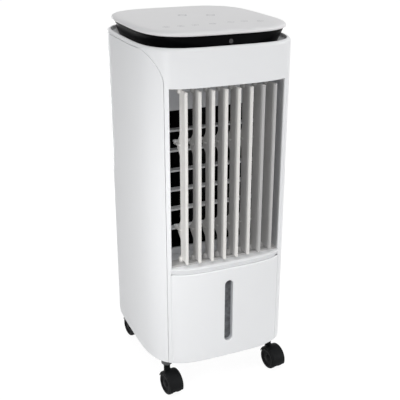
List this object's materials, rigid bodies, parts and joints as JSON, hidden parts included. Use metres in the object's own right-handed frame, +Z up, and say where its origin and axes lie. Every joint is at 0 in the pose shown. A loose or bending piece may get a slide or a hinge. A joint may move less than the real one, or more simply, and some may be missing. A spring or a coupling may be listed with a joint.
{
  "type": "evaporative air cooler",
  "caption": "Slim white room air cooler on castors: bowed louvre bank with link bars, black neck under a touch lid, water-level window, rear tank drawer and inlet grille.",
  "frame": {"origin": "on the floor under the middle of the cabinet", "axes": "+Z up, +X to the right seen from the front, +Y towards the rear; the front faces -Y"},
  "size_m": [0.24, 0.265, 0.58],
  "materials": {
    "white": "smooth white moulding, semi-gloss",
    "inner_white": "light grey-white moulding, matt",
    "louvre": "white moulding, semi-gloss",
    "neck": "black high gloss",
    "window": "grey translucent plastic",
    "infrared": "dark lens",
    "board": "green laminate",
    "motor": "steel can",
    "fan": "black moulding",
    "pad": "pleated cellulose",
    "hose": "soft translucent tube",
    "tank": "pale moulding",
    "filter": "fine screen",
    "gland": "soft black bush",
    "steel": "plated",
    "caster": "black moulding, fine grain",
    "wheel": "black tread"
  },
  "bodies": {
    "cabinet": {"front_frame": "white", "left_side_panel": "white", "right_side_panel": "white", "rear_frame": "white", "lower_front_panel": "white", "level_window": "window", "base_pan": "white", "mid_deck": "inner_white", "top_deck": "inner_white", "top_cover": "white", "neck_band": "neck", "lid": "white", "infrared_window": "infrared", "control_board": "board", "outlet_throat": "inner_white", "guard_slats": "inner_white", "louvre_top_rail": "inner_white", "louvre_bottom_rail": "inner_white", "swing_motor": "motor", "blower_casing": "fan", "blower_motor": "motor", "cooling_pad": "pad", "water_distributor": "inner_white", "pump_hose": "hose", "water_pump": "fan", "cord_gland": "gland", "rear_screws": "steel", "caster_washers": "steel"},
    "blower": {"blower_wheel": "fan"},
    "tank": {"water_tank": "tank"},
    "inlet_cover": {"inlet_grille": "white", "dust_filter": "filter"},
    "link_upper": {"link_bar_upper": "louvre"},
    "link_lower": {"link_bar_lower": "louvre"},
    "louvre_1": {"louvre_1": "louvre"},
    "louvre_2": {"louvre_2": "louvre"},
    "louvre_3": {"louvre_3": "louvre"},
    "louvre_4": {"louvre_4": "louvre"},
    "louvre_5": {"louvre_5": "louvre"},
    "louvre_6": {"louvre_6": "louvre"},
    "louvre_7": {"louvre_7": "louvre"},
    "louvre_8": {"louvre_8": "louvre"},
    "caster_front_left": {"caster_fork_1": "caster"},
    "wheels_front_left": {"caster_wheels_1": "wheel"},
    "caster_front_right": {"caster_fork_2": "caster"},
    "wheels_front_right": {"caster_wheels_2": "wheel"},
    "caster_rear_left": {"caster_fork_3": "caster"},
    "wheels_rear_left": {"caster_wheels_3": "wheel"},
    "caster_rear_right": {"caster_fork_4": "caster"},
    "wheels_rear_right": {"caster_wheels_4": "wheel"}
  },
  "joints": [
    {"name": "louvre_1_swing", "type": "hinge", "parent": "cabinet", "child": "louvre_1", "pos_m": [-0.068, -0.103, 0.226], "axis": [0, 0, 1], "range_deg": [-42, 18]},
    {"name": "louvre_2_swing", "type": "hinge", "parent": "cabinet", "child": "louvre_2", "pos_m": [-0.04857, -0.1052, 0.226], "axis": [0, 0, 1], "range_deg": [-42, 18]},
    {"name": "louvre_3_swing", "type": "hinge", "parent": "cabinet", "child": "louvre_3", "pos_m": [-0.02914, -0.10667, 0.226], "axis": [0, 0, 1], "range_deg": [-42, 18]},
    {"name": "louvre_4_swing", "type": "hinge", "parent": "cabinet", "child": "louvre_4", "pos_m": [-0.00971, -0.10741, 0.226], "axis": [0, 0, 1], "range_deg": [-42, 18]},
    {"name": "louvre_5_swing", "type": "hinge", "parent": "cabinet", "child": "louvre_5", "pos_m": [0.00971, -0.10741, 0.226], "axis": [0, 0, 1], "range_deg": [-42, 18]},
    {"name": "louvre_6_swing", "type": "hinge", "parent": "cabinet", "child": "louvre_6", "pos_m": [0.02914, -0.10667, 0.226], "axis": [0, 0, 1], "range_deg": [-42, 18]},
    {"name": "louvre_7_swing", "type": "hinge", "parent": "cabinet", "child": "louvre_7", "pos_m": [0.04857, -0.1052, 0.226], "axis": [0, 0, 1], "range_deg": [-42, 18]},
    {"name": "louvre_8_swing", "type": "hinge", "parent": "cabinet", "child": "louvre_8", "pos_m": [0.068, -0.103, 0.226], "axis": [0, 0, 1], "range_deg": [-42, 18]},
    {"name": "link_upper_pivot", "type": "hinge", "parent": "louvre_4", "child": "link_upper", "pos_m": [-0.01243, -0.09463, 0.417], "axis": [0, 0, 1], "range_deg": [-18, 42]},
    {"name": "link_lower_pivot", "type": "hinge", "parent": "louvre_4", "child": "link_lower", "pos_m": [-0.01243, -0.09463, 0.283], "axis": [0, 0, 1], "range_deg": [-18, 42]},
    {"name": "blower_spin", "type": "hinge", "parent": "cabinet", "child": "blower", "pos_m": [0, 0.015, 0.35], "axis": [0, 0, 1], "continuous": true},
    {"name": "tank_slide", "type": "slide", "parent": "cabinet", "child": "tank", "axis": [0, 1, 0], "range_m": [0, 0.11]},
    {"name": "inlet_cover_pull", "type": "slide", "parent": "cabinet", "child": "inlet_cover", "axis": [0, 1, 0], "range_m": [0, 0.04]},
    {"name": "swivel_front_left", "type": "hinge", "parent": "cabinet", "child": "caster_front_left", "pos_m": [-0.0925, -0.096, 0.048], "axis": [0, 0, 1], "continuous": true},
    {"name": "roll_front_left", "type": "hinge", "parent": "caster_front_left", "child": "wheels_front_left", "pos_m": [-0.09055, -0.10986, 0.0185], "axis": [0.9903, 0.1392, 0], "continuous": true},
    {"name": "swivel_front_right", "type": "hinge", "parent": "cabinet", "child": "caster_front_right", "pos_m": [0.0925, -0.096, 0.048], "axis": [0, 0, 1], "continuous": true},
    {"name": "roll_front_right", "type": "hinge", "parent": "caster_front_right", "child": "wheels_front_right", "pos_m": [0.09445, -0.10986, 0.0185], "axis": [0.9903, 0.1392, 0], "continuous": true},
    {"name": "swivel_rear_left", "type": "hinge", "parent": "cabinet", "child": "caster_rear_left", "pos_m": [-0.0925, 0.096, 0.048], "axis": [0, 0, 1], "continuous": true},
    {"name": "roll_rear_left", "type": "hinge", "parent": "caster_rear_left", "child": "wheels_rear_left", "pos_m": [-0.09055, 0.08214, 0.0185], "axis": [0.9903, 0.1392, 0], "continuous": true},
    {"name": "swivel_rear_right", "type": "hinge", "parent": "cabinet", "child": "caster_rear_right", "pos_m": [0.0925, 0.096, 0.048], "axis": [0, 0, 1], "continuous": true},
    {"name": "roll_rear_right", "type": "hinge", "parent": "caster_rear_right", "child": "wheels_rear_right", "pos_m": [0.09445, 0.08214, 0.0185], "axis": [0.9903, 0.1392, 0], "continuous": true}
  ],
  "couplings": [
    {"joint": "louvre_1_swing", "follows": "louvre_4_swing", "ratio": 1},
    {"joint": "louvre_2_swing", "follows": "louvre_4_swing", "ratio": 1},
    {"joint": "louvre_3_swing", "follows": "louvre_4_swing", "ratio": 1},
    {"joint": "louvre_5_swing", "follows": "louvre_4_swing", "ratio": 1},
    {"joint": "louvre_6_swing", "follows": "louvre_4_swing", "ratio": 1},
    {"joint": "louvre_7_swing", "follows": "louvre_4_swing", "ratio": 1},
    {"joint": "louvre_8_swing", "follows": "louvre_4_swing", "ratio": 1},
    {"joint": "link_upper_pivot", "follows": "louvre_4_swing", "ratio": -1},
    {"joint": "link_lower_pivot", "follows": "louvre_4_swing", "ratio": -1}
  ]
}
